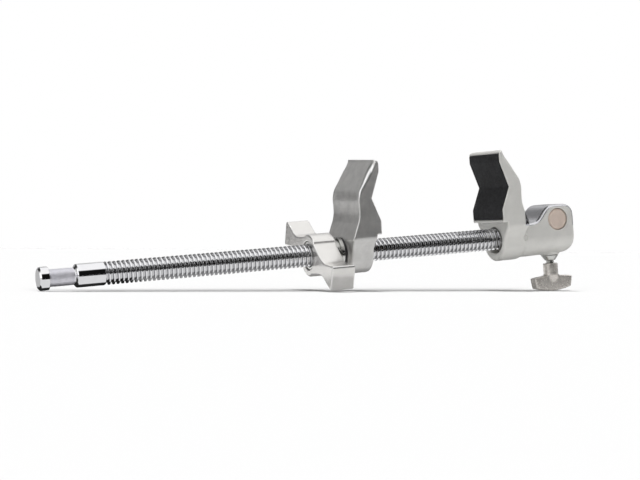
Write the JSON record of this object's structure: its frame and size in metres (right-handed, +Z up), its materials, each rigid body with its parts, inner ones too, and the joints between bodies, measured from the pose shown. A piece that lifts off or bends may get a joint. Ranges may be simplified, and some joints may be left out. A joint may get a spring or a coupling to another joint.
{
  "type": "vise clamp",
  "caption": "Long screw clamp: a fixed end jaw with receiver and T-handle, a padded jaw driven along an Acme rod by a wing nut, and a round mounting spigot.",
  "frame": {"origin": "under the middle of the bounding box, on the surface that the clamp lies on", "axes": "+X from the spigot to the fixed jaw, +Z up, +Y away from the side that the picture shows; the rod rises 5 degrees towards +X"},
  "size_m": [0.4048, 0.0888, 0.1024],
  "materials": {
    "chrome_plate": "polished chrome plate on steel",
    "cast_aluminium": "tumbled die casting, light grey",
    "tumbled_aluminium": "tumbled die casting, satin grey",
    "satin_aluminium": "vibro-polished casting, satin bright",
    "satin_nickel": "satin nickel plate on a die casting",
    "receiver_steel": "turned steel, satin",
    "bright_steel": "turned steel, bright",
    "spring_steel": "oiled spring steel",
    "bearing_bronze": "sintered bronze",
    "brass": "turned brass",
    "pad_rubber": "textured black rubber sheet",
    "nylon": "black nylon"
  },
  "bodies": {
    "base": {"threaded_rod": "chrome_plate", "fixed_jaw": "cast_aluminium", "fixed_jaw_pad": "pad_rubber", "rod_lock_pin": "spring_steel", "lock_screw_bush": "bright_steel"},
    "slider": {"thrust_washer": "bright_steel", "friction_washer": "nylon", "retaining_washer": "bright_steel"},
    "jaw": {"moving_jaw": "tumbled_aluminium", "moving_jaw_pad": "pad_rubber", "jaw_guide_bush": "bearing_bronze"},
    "nut": {"wing_nut": "satin_aluminium", "nut_sleeve": "bright_steel", "sleeve_grub_screw": "spring_steel", "nut_snap_ring": "spring_steel"},
    "shoe": {"lock_screw_shoe": "brass"},
    "screw": {"lock_screw": "bright_steel", "t_handle": "satin_nickel", "t_handle_pin": "spring_steel"},
    "cross_pin": {"receiver_pin": "receiver_steel"}
  },
  "joints": [
    {"name": "jaw_slide", "type": "slide", "parent": "base", "child": "slider", "axis": [0.9962, 0, 0.0872], "range_m": [-0.1482, 0.0957]},
    {"name": "nut_spin", "type": "hinge", "parent": "slider", "child": "nut", "pos_m": [-0.00059, 0, 0.02559], "axis": [0.9962, 0, 0.0872], "range_deg": [-16840, 10890]},
    {"name": "jaw_swivel", "type": "hinge", "parent": "slider", "child": "jaw", "pos_m": [0.02691, 0, 0.02799], "axis": [0.9962, 0, 0.0872], "continuous": true},
    {"name": "lock_screw_slide", "type": "slide", "parent": "base", "child": "shoe", "axis": [0.0872, 0, -0.9962], "range_m": [0, 0.006]},
    {"name": "lock_screw_spin", "type": "hinge", "parent": "shoe", "child": "screw", "pos_m": [0.18557, 0, 0.02049], "axis": [0.0872, 0, -0.9962], "range_deg": [0, 2180]},
    {"name": "receiver_pin_slide", "type": "slide", "parent": "base", "child": "cross_pin", "axis": [0, -1, 0], "range_m": [-0.018, 0.018]}
  ],
  "couplings": [
    {"joint": "nut_spin", "follows": "jaw_slide", "rad_per_m": 1979},
    {"joint": "lock_screw_spin", "follows": "lock_screw_slide", "rad_per_m": 6283.2}
  ]
}
